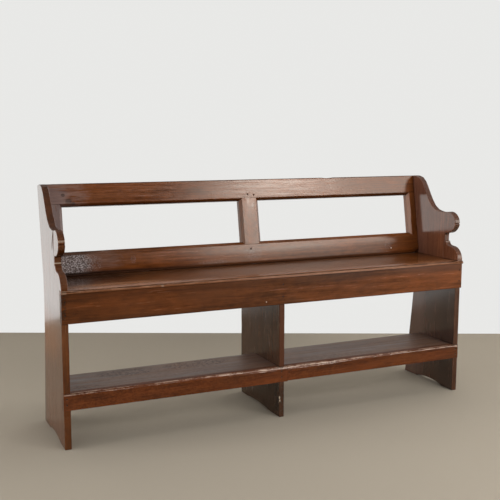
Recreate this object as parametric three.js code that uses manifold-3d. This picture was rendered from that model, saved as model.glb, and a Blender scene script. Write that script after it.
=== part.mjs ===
// A chapel bench in varnished pine: two shaped board ends, an open framed back, a narrow seat over an apron,
// a support board at mid-length and a low foot shelf behind a worn front rail.
// Millimetres. +Z is up, the front faces -Y, and +X is to the right of someone who looks at the front.
// Depths count back from the front edges of the end boards, and the whole is centred at the end.
import * as THREE from "three";
import { mergeVertices } from "three/addons/utils/BufferGeometryUtils.js";
import Module from "manifold-3d";

const wasm = await Module();
wasm.setup();

// The whole bench
const benchLength = 1366;
const seatHeight = 457;
const seatDepth = 213;
const footDepth = 280;

// Gap round a fitted joint, run of a cut past the face that it opens, and the eased edge of a board
const clearance = 0.3;
const overrun = 5;
const easedEdge = 1.5;

// End boards, each of two planks glued edge to edge
const endThickness = 20;
const plankJointShare = 0.35;
const waistDrop = 85;
const armRise = 163;
const crownLength = 18;
const ogeeProud = 8;
const nickDepth = 2.5;
const splayPullShare = 0.8;
const footArchRise = 10;
const footArchShares = [0.215, 0.73];

// Raked back frame
const rake = THREE.MathUtils.degToRad(10.25);
const frameRise = 281.5;
const frameThickness = 25;
const topRailWidth = 70;
const bottomRailWidth = 75;
const leftStileWidth = 46;
const rightStileWidth = 32;
const muntinWidth = 69;
const muntinOffset = 1.5;
const chamfer = 9;
const footChamfer = 12;
const roundedTop = 3;
const tenonFaceShares = [0.38, 0.7];
const tenonInset = 9;
const tenonLength = 45;
const stubLength = 12;
const stubInset = 14;

// Pegs through the muntin's tenons. Shares go across the muntin, and up from a rail's edge at the opening.
const pegRadius = 2.6;
const upperPegShares = [[-0.07, 0.29], [0.26, 0.26]];
const lowerPegShares = [[-0.08, -0.31]];

// Seat board with a bead and quirk on its tongue, which laps over the apron
const seatThickness = 20;
const tongueThickness = 10;
const nosingProud = 13;
const beadWidth = 12;
const quirkWidth = 2;
const seatHousing = 6;

// Apron
const apronProud = 6;
const apronThickness = 20;
const apronWidth = 84.5;

// Support board at mid-length
const supportThickness = 18;
const supportDepth = 291;
const supportSlopeDrop = 107;
const supportArchRise = 5;
const supportArchShares = [0.28, 0.82];
const heelRadius = 7;
const heelRise = 20;

// Foot shelf and its front rail, in two lengths that butt just right of the support
const shelfTop = 163;
const shelfThickness = 20;
const leftShelfRear = 185;
const rightShelfRear = 196;
const shelfHousing = 4;
const footRailThickness = 20;
const leftFootRailWidth = 49.5;
const rightFootRailWidth = 47.5;
const buttPastSupport = 12;

// Wear along the foot rail's top edge: how deep, where it is deepest, and its slope as shares back and down
const leastWear = 1;
const mostWear = 8;
const mostWornShare = -0.03;
const wornSpanShare = 1.06;
const wornSlopeShares = [[1.6, 0], [0.8, 0.15], [0.25, 0.5], [0, 1]];

// Cleats and glue blocks under the seat
const cleatSize = 22;
const cleatFrontGap = 10;
const cleatLengthShare = 0.8;
const blockSize = 25;
const blockLength = 70;
const blockPlaceShares = [-0.34, -0.15, 0.15, 0.34];

// Cut nails
const nailLength = 50;
const nailShank = 1.8;
const nailTip = 1.1;
const nailHead = 2.8;
const nailHeadThickness = 1.5;
const nailPunch = 0.8;
const apronNailShares = [0.34, 0.85];
const footRailNailShares = [0.3, 0.68];

// Steps that the curves are drawn with
const curveSteps = 8;
const pegSides = 8;
const nailSides = 4;
const wearSteps = 14;

// Pulls of the curves, and how far a curve reaches towards two middle points that stand at one height
const crownPullShare = 0.42;
const saddlePullShare = 0.58;
const nosePullShare = 0.55;
const noseUnderPullShares = [0.35, 0.7];
const archPullShare = 0.12;
const curveReachShare = 0.75;

// Places worked out from the sizes above
const halfLength = benchLength / 2;
const innerFace = halfLength - endThickness;
const seatUnder = seatHeight - seatThickness;
const tongueUnder = seatHeight - tongueThickness;
const apronUnder = tongueUnder - apronWidth;
const apronBack = apronThickness - apronProud;
const shelfUnder = shelfTop - shelfThickness;
const halfSupport = supportThickness / 2;
const buttPlace = halfSupport + buttPastSupport;
const sinRake = Math.sin(rake);
const cosRake = Math.cos(rake);
const openingLow = bottomRailWidth;
const openingHigh = frameRise - topRailWidth;
const plankJoint = seatDepth * plankJointShare;
const backTop = { y: seatDepth + frameRise * sinRake, z: seatHeight + frameRise * cosRake };
const rearShift = { y: frameThickness * cosRake, z: -frameThickness * sinRake };
const waistDepth = seatDepth + rearShift.y;
const waistHeight = seatHeight - waistDrop;
const seatRear = waistDepth - clearance;

// Shapes

// Moves each corner to the place worked out for it, so that faces that touch have the very same numbers
function remap(geometry, place) {
  const position = geometry.getAttribute("position");
  for (let i = 0; i < position.count; i += 1) {
    position.setXYZ(i, ...place(position.getX(i), position.getY(i), position.getZ(i)));
  }
  return geometry;
}

function box(xs, ys, zs) {
  const pick = (range, side) => (side < 0 ? range[0] : range[1]);
  return remap(new THREE.BoxGeometry(), (x, y, z) => [pick(xs, x), pick(ys, y), pick(zs, z)]);
}

function outline(points) {
  return new THREE.Shape(points.map(([a, b]) => new THREE.Vector2(a, b)));
}

// A prism along X of a shape drawn in depth and height, with its edges eased where an edge is given
function prismAlongX(shape, [from, to], edge = 0) {
  const eased = edge > 0;
  const stops = eased ? [from, from + edge, to - edge, to] : [from, from, to, to];
  const geometry = new THREE.ExtrudeGeometry(shape, {
    depth: 1,
    curveSegments: curveSteps,
    bevelEnabled: eased,
    bevelSegments: 1,
    bevelThickness: 1,
    bevelSize: edge,
    bevelOffset: -edge,
  });
  return remap(geometry, (x, y, z) => [stops[Math.round(z) + 1], x, y]);
}

// A prism along Z of a shape drawn in X and depth
function prismAlongZ(shape, [from, to]) {
  const geometry = new THREE.ExtrudeGeometry(shape, { depth: 1, bevelEnabled: false });
  return remap(geometry, (x, y, z) => [x, y, z > 0 ? to : from]);
}

// A closed skin over rings of points that stand in planes across X, each ring convex
function loft(rings) {
  const around = rings[0].length;
  const corners = rings.flat();
  const faces = [];
  for (let r = 0; r + 1 < rings.length; r += 1) {
    for (let i = 0; i < around; i += 1) {
      const a = r * around + i;
      const b = r * around + ((i + 1) % around);
      faces.push(a, b, a + around, b, b + around, a + around);
    }
  }
  const last = (rings.length - 1) * around;
  for (let i = 1; i + 1 < around; i += 1) {
    faces.push(0, i + 1, i, last, last + i, last + i + 1);
  }
  const geometry = new THREE.BufferGeometry();
  geometry.setAttribute("position", new THREE.Float32BufferAttribute(corners.flat(), 3));
  return geometry.setIndex(faces);
}

// Solids

function toSolid(geometry, matrix = new THREE.Matrix4()) {
  const loose = geometry.index ? geometry.toNonIndexed() : geometry;
  const bare = new THREE.BufferGeometry();
  bare.setAttribute("position", loose.getAttribute("position").clone());
  const merged = mergeVertices(bare.applyMatrix4(matrix));
  return new wasm.Manifold(
    new wasm.Mesh({
      numProp: 3,
      vertProperties: merged.getAttribute("position").array,
      triVerts: new Uint32Array(merged.index.array),
    }),
  );
}

function cut(solid, ...tools) {
  return tools.reduce((rest, tool) => rest.subtract(tool), solid);
}

function join(solid, ...more) {
  return more.reduce((sum, piece) => sum.add(piece), solid);
}

function toGeometry(solid) {
  const mesh = solid.getMesh();
  const geometry = new THREE.BufferGeometry();
  geometry.setAttribute("position", new THREE.BufferAttribute(mesh.vertProperties, mesh.numProp));
  geometry.setIndex(new THREE.BufferAttribute(mesh.triVerts, 1));
  const flat = geometry.toNonIndexed();
  flat.computeVertexNormals();
  return flat;
}

// The back frame's own axes: X along the bench, Y through its thickness and Z up its slope
const frameMatrix = new THREE.Matrix4()
  .makeTranslation(0, seatDepth, seatHeight)
  .multiply(new THREE.Matrix4().makeRotationX(-rake));

// Nails

function nailAt(x, y, z, grow) {
  const turn = Math.PI / 4;
  const shank = new THREE.CylinderGeometry(nailTip + grow, nailShank + grow, nailLength + grow, nailSides);
  shank.rotateY(turn).translate(x, y + nailPunch + (nailLength + grow) / 2, z);
  const headFrom = grow > 0 ? -overrun : nailPunch;
  const headTo = nailPunch + nailHeadThickness + grow;
  const head = new THREE.CylinderGeometry(nailHead + grow, nailHead + grow, headTo - headFrom, nailSides);
  head.rotateY(turn).translate(x, y + (headFrom + headTo) / 2, z);
  return join(toSolid(shank), toSolid(head));
}

const endNailX = halfLength - endThickness / 2;
const apronNailHeights = apronNailShares.map((share) => apronUnder + (seatUnder - apronUnder) * share);
const railNailHeights = footRailNailShares.map((share) => shelfTop - rightFootRailWidth * (1 - share));
const apronNails = [-endNailX, 0, endNailX].flatMap((x) => apronNailHeights.map((z) => [x, -apronProud, z]));
const railNails = [-endNailX, 0, endNailX].flatMap((x) => railNailHeights.map((z) => [x, 0, z]));
const nailHoles = [...apronNails, ...railNails].map((place) => nailAt(...place, clearance));

// End boards

// The arm, from the crown behind to the ogee that lands on the seat's tongue.
// Shares go with the seat's depth and with the arm's rise above the seat.
const armShares = {
  saddle: [0.446, 0.975],
  crest: [0.244, 1],
  noseFront: [0.056, 0.767],
  noseUnder: [0.272, 0.54],
  neck: [0.315, 0.485],
  ledge: [0.282, 0.374],
  cove: [0.164, 0.282],
};

function armPoint(name) {
  const [depthShare, riseShare] = armShares[name];
  return { y: seatDepth * depthShare, z: seatHeight + armRise * riseShare };
}

// A shallow arch between two feet, drawn along the floor from the front
function addArch(shape, depth, shares, rise) {
  const [from, to] = shares.map((share) => depth * share);
  const pull = (to - from) * archPullShare;
  const top = rise / curveReachShare;
  shape.lineTo(from, 0);
  shape.bezierCurveTo(from + pull, top, to - pull, top, to, 0);
}

function endShape() {
  const crown = { y: backTop.y - crownLength, z: backTop.z };
  const saddle = armPoint("saddle");
  const crest = armPoint("crest");
  const front = armPoint("noseFront");
  const under = armPoint("noseUnder");
  const neck = armPoint("neck");
  const ledge = armPoint("ledge");
  const cove = armPoint("cove");
  const crownRun = crown.y - saddle.y;
  const noseRun = crest.y - front.y;
  const upperNose = crest.z - front.z;
  const lowerNose = front.z - under.z;
  const shape = new THREE.Shape();
  shape.moveTo(footDepth, 0);
  shape.quadraticCurveTo(waistDepth, waistHeight * splayPullShare, waistDepth, waistHeight);
  shape.lineTo(waistDepth, seatHeight + rearShift.z);
  shape.lineTo(backTop.y + rearShift.y, backTop.z + rearShift.z);
  shape.lineTo(backTop.y, backTop.z);
  shape.lineTo(crown.y, crown.z);
  shape.bezierCurveTo(
    crown.y - crownRun * crownPullShare, crown.z,
    saddle.y + crownRun * saddlePullShare, saddle.z,
    saddle.y, saddle.z,
  );
  shape.quadraticCurveTo((saddle.y + crest.y) / 2, saddle.z, crest.y, crest.z);
  shape.bezierCurveTo(
    crest.y - noseRun * nosePullShare, crest.z,
    front.y, front.z + upperNose * nosePullShare,
    front.y, front.z + nickDepth,
  );
  shape.lineTo(front.y + nickDepth, front.z);
  shape.lineTo(front.y, front.z - nickDepth);
  shape.bezierCurveTo(
    front.y, front.z - lowerNose * noseUnderPullShares[0],
    under.y - noseRun * noseUnderPullShares[1], under.z,
    under.y, under.z,
  );
  shape.quadraticCurveTo(neck.y, under.z, neck.y, neck.z);
  shape.lineTo(neck.y, ledge.z);
  shape.lineTo(ledge.y, ledge.z);
  shape.quadraticCurveTo(ledge.y, cove.z, cove.y, cove.z);
  shape.bezierCurveTo(
    cove.y - (cove.y + ogeeProud) * nosePullShare, cove.z,
    -ogeeProud, seatHeight + (cove.z - seatHeight) * nosePullShare,
    -ogeeProud, seatHeight,
  );
  shape.lineTo(-ogeeProud, (seatHeight + apronUnder) / 2);
  shape.lineTo(0, (seatHeight + apronUnder) / 2);
  shape.lineTo(0, 0);
  addArch(shape, footDepth, footArchShares, footArchRise);
  shape.closePath();
  return shape;
}

// side is -1 for the left end and 1 for the right one
function acrossEnd(side, fromInner, toInner) {
  const ends = [side * (innerFace + fromInner), side * (innerFace + toInner)];
  return side > 0 ? ends : ends.reverse();
}

function footRailUnder(side) {
  return shelfTop - (side < 0 ? leftFootRailWidth : rightFootRailWidth);
}

function shelfRear(side) {
  return side < 0 ? leftShelfRear : rightShelfRear;
}

function endBoard(side) {
  const through = acrossEnd(side, -overrun, endThickness + overrun);
  const seatCut = acrossEnd(side, -overrun, seatHousing);
  const shelfCut = acrossEnd(side, -overrun, shelfHousing);
  const stubCut = acrossEnd(side, -overrun, stubLength + clearance);
  return cut(
    toSolid(prismAlongX(endShape(), acrossEnd(side, 0, endThickness), easedEdge)),
    toSolid(box(through, [-ogeeProud - overrun, apronBack], [apronUnder, seatHeight])),
    toSolid(box(through, [-overrun, footRailThickness], [footRailUnder(side), shelfTop])),
    toSolid(box(seatCut, [0, seatRear + clearance], [seatUnder, seatHeight])),
    toSolid(box(shelfCut, [0, shelfRear(side) + clearance], [shelfUnder, shelfTop])),
    ...railStubs(clearance).map((zs) => toSolid(box(stubCut, stubDepths(clearance), zs), frameMatrix)),
    ...nailHoles,
  );
}

function endPlanks(side, name) {
  const board = endBoard(side);
  const through = acrossEnd(side, -overrun, endThickness + overrun);
  const heights = [-overrun, backTop.z + overrun];
  const front = toSolid(box(through, [-nosingProud - overrun, plankJoint], heights));
  const rear = toSolid(box(through, [plankJoint, backTop.y + rearShift.y + overrun], heights));
  piece(`${name}_front_plank`, board.intersect(front), plankColour);
  piece(`${name}_rear_plank`, board.intersect(rear), plankColour);
}

// Back frame, in its own axes

function stubDepths(grow) {
  return [frameThickness * tenonFaceShares[0] - grow, frameThickness * tenonFaceShares[1] + grow];
}

// Heights up the slope of the rails' stub tenons in the ends, the bottom rail's first
function railStubs(grow) {
  return [
    [stubInset + footChamfer / 2 - grow, openingLow - stubInset + grow],
    [openingHigh + stubInset - grow, frameRise - stubInset + grow],
  ];
}

// The chamfered corner of a rail whose faces have all moved out by grow
function grownChamfer(grow) {
  return chamfer + grow * (2 - Math.SQRT2);
}

function topRailShape() {
  const shape = outline([[0, openingHigh + chamfer], [chamfer, openingHigh], [frameThickness, openingHigh]]);
  shape.lineTo(frameThickness, frameRise - roundedTop);
  shape.quadraticCurveTo(frameThickness, frameRise, frameThickness - roundedTop, frameRise);
  shape.lineTo(roundedTop, frameRise);
  shape.quadraticCurveTo(0, frameRise, 0, frameRise - roundedTop);
  return shape;
}

// The rail's underside is level, to stand on the seat, so it runs aslant in the frame's own axes
function seatLine(depth) {
  return (clearance + depth * sinRake) / cosRake;
}

function bottomRailShape() {
  return outline([
    [0, footChamfer],
    [chamfer, seatLine(chamfer)],
    [frameThickness, seatLine(frameThickness)],
    [frameThickness, openingLow],
    [chamfer, openingLow],
    [0, openingLow - chamfer],
  ]);
}

// The rails as cutters for the shoulders that are scribed over their chamfers
function railCutters() {
  const grow = clearance;
  const corner = grownChamfer(grow);
  const back = frameThickness + grow;
  const low = outline([
    [-grow, 0],
    [back, 0],
    [back, openingLow + grow],
    [corner - grow, openingLow + grow],
    [-grow, openingLow + grow - corner],
  ]);
  const high = outline([
    [-grow, openingHigh - grow + corner],
    [corner - grow, openingHigh - grow],
    [back, openingHigh - grow],
    [back, frameRise],
    [-grow, frameRise],
  ]);
  return [low, high].map((shape) => toSolid(prismAlongX(shape, [-halfLength, halfLength])));
}

const frameEdge = innerFace - clearance;
const uprights = [
  { name: "back_stile_left", xs: [-frameEdge, -innerFace + leftStileWidth], chamfered: [false, true] },
  {
    name: "back_muntin",
    xs: [muntinOffset - muntinWidth / 2, muntinOffset + muntinWidth / 2],
    chamfered: [true, true],
  },
  { name: "back_stile_right", xs: [innerFace - rightStileWidth, frameEdge], chamfered: [true, false] },
];

function uprightTenons({ xs }, grow) {
  const across = [xs[0] + tenonInset - grow, xs[1] - tenonInset + grow];
  const low = box(across, stubDepths(grow), [openingLow - tenonLength - grow, openingLow + overrun]);
  const high = box(across, stubDepths(grow), [openingHigh - overrun, openingHigh + tenonLength + grow]);
  return [toSolid(low), toSolid(high)];
}

function upright(member, cutters) {
  const [left, right] = member.xs;
  const [leftCut, rightCut] = member.chamfered.map((yes) => (yes ? chamfer : 0));
  const points = [
    [left + leftCut, 0],
    [left, leftCut],
    [left, frameThickness],
    [right, frameThickness],
    [right, rightCut],
    [right - rightCut, 0],
  ];
  const shape = outline(points.filter((p, i) => i === 0 || p.join() !== points[i - 1].join()));
  const body = toSolid(prismAlongZ(shape, [openingLow - chamfer, openingHigh + chamfer]));
  return cut(join(cut(body, ...cutters), ...uprightTenons(member, 0)), ...pegHoles);
}

function rail(shape, zs) {
  const body = toSolid(prismAlongX(shape, [-frameEdge, frameEdge]));
  const reach = innerFace + stubLength;
  const stubs = toSolid(box([-reach, reach], stubDepths(0), zs));
  const mortises = uprights.flatMap((member) => uprightTenons(member, clearance));
  return cut(join(body, stubs), ...mortises, ...pegHoles);
}

function pegPlace([acrossShare, upShare], edge, width) {
  return { x: muntinOffset + muntinWidth * acrossShare, z: edge + width * upShare };
}

const pegPlaces = [
  ...upperPegShares.map((shares) => pegPlace(shares, openingHigh, topRailWidth)),
  ...lowerPegShares.map((shares) => pegPlace(shares, openingLow, bottomRailWidth)),
];

function peg({ x, z }, grow) {
  const length = frameThickness + (grow > 0 ? overrun : 0);
  const geometry = new THREE.CylinderGeometry(pegRadius + grow, pegRadius + grow, length, pegSides);
  return toSolid(geometry.translate(x, frameThickness / 2, z));
}

const pegHoles = pegPlaces.map((place) => peg(place, clearance));

// Seat, apron and support

function tongueShape(rear) {
  const front = -nosingProud;
  const round = tongueThickness / 2;
  const quirk = front + beadWidth;
  const shape = new THREE.Shape();
  shape.moveTo(rear, tongueUnder);
  shape.lineTo(front + round, tongueUnder);
  shape.quadraticCurveTo(front, tongueUnder, front, tongueUnder + round);
  shape.quadraticCurveTo(front, seatHeight, front + beadWidth / 2, seatHeight);
  shape.lineTo(quirk - quirkWidth, seatHeight);
  shape.lineTo(quirk - quirkWidth / 2, seatHeight - quirkWidth);
  shape.lineTo(quirk, seatHeight);
  shape.lineTo(rear, seatHeight);
  return shape;
}

function seatBoard() {
  const reach = innerFace + seatHousing - clearance;
  const body = box([-reach, reach], [apronBack, seatRear], [seatUnder, seatHeight]);
  const lap = prismAlongX(tongueShape(apronBack + overrun), [-innerFace, innerFace]);
  const ears = prismAlongX(tongueShape(apronBack), [-halfLength, halfLength]);
  return join(toSolid(ears), toSolid(lap), toSolid(body));
}

function apronBoard() {
  const face = -apronProud;
  const shape = outline([
    [face + easedEdge, apronUnder],
    [apronBack, apronUnder],
    [apronBack, tongueUnder],
    [face, tongueUnder],
    [face, apronUnder + easedEdge],
  ]);
  return cut(toSolid(prismAlongX(shape, [-halfLength, halfLength])), ...nailHoles);
}

function supportShape() {
  const shape = new THREE.Shape();
  shape.moveTo(0, 0);
  addArch(shape, supportDepth, supportArchShares, supportArchRise);
  shape.lineTo(supportDepth - heelRadius, 0);
  shape.quadraticCurveTo(supportDepth, 0, supportDepth, heelRise);
  shape.lineTo(supportDepth, seatUnder - supportSlopeDrop);
  shape.lineTo(seatRear, seatUnder);
  shape.lineTo(0, seatUnder);
  shape.closePath();
  return shape;
}

function supportBoard() {
  const across = [-halfSupport, halfSupport];
  const through = [-halfSupport - overrun, halfSupport + overrun];
  const shelfCuts = [-1, 1].map((side) => {
    const reach = [side * (halfSupport - shelfHousing), side * (halfSupport + overrun)];
    const xs = side > 0 ? reach : reach.reverse();
    return toSolid(box(xs, [0, shelfRear(side) + clearance], [shelfUnder, shelfTop]));
  });
  return cut(
    toSolid(prismAlongX(supportShape(), across, easedEdge)),
    toSolid(box(through, [-overrun, apronBack], [apronUnder, seatHeight])),
    toSolid(box(through, [-overrun, footRailThickness], [footRailUnder(-1), shelfTop])),
    ...shelfCuts,
    ...nailHoles,
  );
}

// Foot shelf and its worn front rail

function wearAt(x) {
  const phase = (Math.PI * (x / benchLength - mostWornShare)) / wornSpanShare;
  return leastWear + (mostWear - leastWear) * Math.cos(phase) ** 2;
}

function footRail(side) {
  const under = footRailUnder(side);
  const xs = side < 0 ? [-halfLength, buttPlace] : [buttPlace + clearance, halfLength];
  const rings = [];
  for (let i = 0; i <= wearSteps; i += 1) {
    const x = i === wearSteps ? xs[1] : xs[0] + ((xs[1] - xs[0]) * i) / wearSteps;
    const wear = wearAt(x);
    rings.push([
      [x, 0, under],
      [x, footRailThickness, under],
      [x, footRailThickness, shelfTop],
      ...wornSlopeShares.map(([share, downShare]) => [x, wear * share, shelfTop - wear * downShare]),
    ]);
  }
  return cut(toSolid(loft(rings)), ...nailHoles);
}

function shelfBoard(side) {
  const sunk = shelfHousing - clearance;
  const ends = [side * (halfSupport - sunk), side * (innerFace + sunk)];
  const xs = side > 0 ? ends : ends.reverse();
  return toSolid(box(xs, [footRailThickness, shelfRear(side)], [shelfUnder, shelfTop]));
}

// Cleats and glue blocks

function cleat(inner, side) {
  const xs = side > 0 ? [inner, inner + cleatSize] : [inner - cleatSize, inner];
  const front = apronBack + cleatFrontGap;
  const rear = front + (seatRear - front) * cleatLengthShare;
  return toSolid(box(xs, [front, rear], [seatUnder - cleatSize, seatUnder]));
}

function glueBlock(x) {
  const shape = outline([
    [apronBack, seatUnder],
    [apronBack, seatUnder - blockSize],
    [apronBack + blockSize, seatUnder],
  ]);
  return toSolid(prismAlongX(shape, [x - blockLength / 2, x + blockLength / 2]));
}

// The bench as one group of named pieces

const bench = new THREE.Group();
const back = new THREE.Group();
bench.add(back);
const plankColour = 0x5a3624;
const frameColour = 0x6b3d24;
const seatColour = 0x5c3420;
const shelfColour = 0x54403a;
const hiddenColour = 0x4a2f20;
const ironColour = 0x2b2523;

function piece(name, solid, colour, parent = bench, metalness = 0) {
  const material = new THREE.MeshStandardMaterial({ color: colour, roughness: 0.4, metalness });
  const mesh = new THREE.Mesh(toGeometry(solid), material);
  mesh.name = name;
  parent.add(mesh);
}

endPlanks(-1, "end_left");
endPlanks(1, "end_right");

const cutters = railCutters();
const [lowStub, highStub] = railStubs(0);
piece("back_top_rail", rail(topRailShape(), highStub), frameColour, back);
piece("back_bottom_rail", rail(bottomRailShape(), lowStub), frameColour, back);
uprights.forEach((member) => piece(member.name, upright(member, cutters), frameColour, back));
pegPlaces.forEach((place, i) => piece(`back_peg_${i + 1}`, peg(place, 0), hiddenColour, back));
back.position.set(0, seatDepth, seatHeight);
back.rotation.x = -rake;

piece("seat_board", seatBoard(), seatColour);
piece("front_apron", apronBoard(), seatColour);
piece("centre_support", supportBoard(), plankColour);
piece("foot_rail_left", footRail(-1), seatColour);
piece("foot_rail_right", footRail(1), seatColour);
piece("foot_shelf_left", shelfBoard(-1), shelfColour);
piece("foot_shelf_right", shelfBoard(1), shelfColour);

piece("seat_cleat_left", cleat(-innerFace, 1), hiddenColour);
piece("seat_cleat_right", cleat(innerFace, -1), hiddenColour);
piece("seat_cleat_centre_left", cleat(-halfSupport, -1), hiddenColour);
piece("seat_cleat_centre_right", cleat(halfSupport, 1), hiddenColour);
blockPlaceShares.forEach((share, i) => {
  piece(`glue_block_${i + 1}`, glueBlock(benchLength * share), hiddenColour);
});

apronNails.forEach((place, i) => piece(`apron_nail_${i + 1}`, nailAt(...place, 0), ironColour, bench, 1));
railNails.forEach((place, i) => piece(`foot_rail_nail_${i + 1}`, nailAt(...place, 0), ironColour, bench, 1));

// The origin lies on the floor at the middle of the bench's length and depth
const deepest = Math.max(supportDepth, footDepth, backTop.y + rearShift.y);
bench.position.y = (nosingProud - deepest) / 2;

export default bench;
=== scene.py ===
# A chapel bench in dark varnished pine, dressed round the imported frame.
# Metres. +Z is up, the front faces -Y, and the origin is on the floor under the middle of the bench.
import math
import bmesh
import bpy
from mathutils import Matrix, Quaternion, Vector, noise

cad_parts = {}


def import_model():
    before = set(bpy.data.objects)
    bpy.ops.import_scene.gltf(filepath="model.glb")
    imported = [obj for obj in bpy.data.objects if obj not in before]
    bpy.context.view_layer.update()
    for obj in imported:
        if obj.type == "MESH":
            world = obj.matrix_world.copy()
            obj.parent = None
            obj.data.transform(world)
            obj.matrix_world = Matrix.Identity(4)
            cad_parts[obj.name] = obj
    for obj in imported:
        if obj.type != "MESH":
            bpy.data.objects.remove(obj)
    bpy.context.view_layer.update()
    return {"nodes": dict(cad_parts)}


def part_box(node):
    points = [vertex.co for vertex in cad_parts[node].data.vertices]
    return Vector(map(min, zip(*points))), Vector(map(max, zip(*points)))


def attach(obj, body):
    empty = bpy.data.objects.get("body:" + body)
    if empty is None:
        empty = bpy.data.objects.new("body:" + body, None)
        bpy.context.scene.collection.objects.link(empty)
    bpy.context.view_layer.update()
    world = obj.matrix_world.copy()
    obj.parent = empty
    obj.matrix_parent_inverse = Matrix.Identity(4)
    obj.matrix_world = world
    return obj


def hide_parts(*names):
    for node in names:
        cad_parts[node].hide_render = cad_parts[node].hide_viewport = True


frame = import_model()
nodes = frame["nodes"]

# Camera, solved from the photograph
IMAGE_SIZE = 500
CAMERA_PLACE = Vector((-1.1589, -2.4151, 0.8934))
CAMERA_YAW = math.radians(24.73)
CAMERA_PITCH = math.radians(-8.07)
CAMERA_ROLL = math.radians(0.13)
FOCAL_PIXELS = 840.72
SENSOR_WIDTH = 36.0
CLIP_NEAR = 0.05
CLIP_FAR = 60

# Stage: how far the wall stands from the camera, how far floor and wall reach, and the colours
WALL_AHEAD = 3.66
STAGE_REACH = 9.0
WALL_HEIGHT = 6.0
WALL_COLOUR = (0.81, 0.81, 0.795, 1)
WALL_MIRRORED = (0.90, 0.89, 0.87, 1)
FLOOR_COLOUR = (0.325, 0.283, 0.225, 1)
SKY_LOW = (0.09, 0.09, 0.09, 1)
SKY_HIGH = (0.26, 0.265, 0.27, 1)

# Lamps: name, place, what it points at, width and height, watts, and whether the varnish mirrors it
LAMPS = [
    ("window", (1.20, -1.95, 1.40), (0.2, 0.05, 0.7), (0.60, 0.40), 7.2, True),
    ("window_wide", (1.56, -2.0, 1.20), (0.2, 0.05, 0.6), (1.75, 0.80), 22, True),
    ("window_sill", (1.56, -2.0, 0.52), (0.2, 0.05, 0.5), (1.75, 0.85), 8.0, True),
    ("window_low", (1.12, -2.0, 0.70), (0.2, 0.05, 0.5), (0.85, 0.60), 3.0, True),
    ("doorway", (-2.2, -1.5, 0.8), (0.3, 0.1, 0.6), (1.6, 1.2), 13, True),
    ("skylight", (1.0, 0.2, 3.2), (0.2, -0.1, 0.3), (2.0, 1.4), 28, False),
    ("front_fill", (0.4, -3.8, 2.0), (0.2, 0, 0.4), (2.5, 2.0), 72, False),
    ("left_fill", (-3.4, 0.3, 1.3), (0.3, 0, 0.4), (2.0, 2.0), 66, False),
]

# Node sockets that go by number, because several of them share a name
MIX_FACTOR = 0
MIX_FIRST = 6
MIX_SECOND = 7
MIX_COLOUR = 2


def heading(yaw, pitch):
    return Vector((math.sin(yaw) * math.cos(pitch), math.cos(yaw) * math.cos(pitch), math.sin(pitch)))


def camera():
    data = bpy.data.cameras.new("camera")
    data.sensor_width = SENSOR_WIDTH
    data.lens = FOCAL_PIXELS / IMAGE_SIZE * SENSOR_WIDTH
    data.clip_start = CLIP_NEAR
    data.clip_end = CLIP_FAR
    eye = bpy.data.objects.new("camera", data)
    bpy.context.scene.collection.objects.link(eye)
    eye.location = CAMERA_PLACE
    eye.rotation_mode = "QUATERNION"
    ahead = heading(CAMERA_YAW, CAMERA_PITCH)
    level = ahead.to_track_quat("-Z", "Y")
    eye.rotation_quaternion = level @ Quaternion((0, 0, 1), CAMERA_ROLL)
    bpy.context.scene.camera = eye


# Node trees

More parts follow.
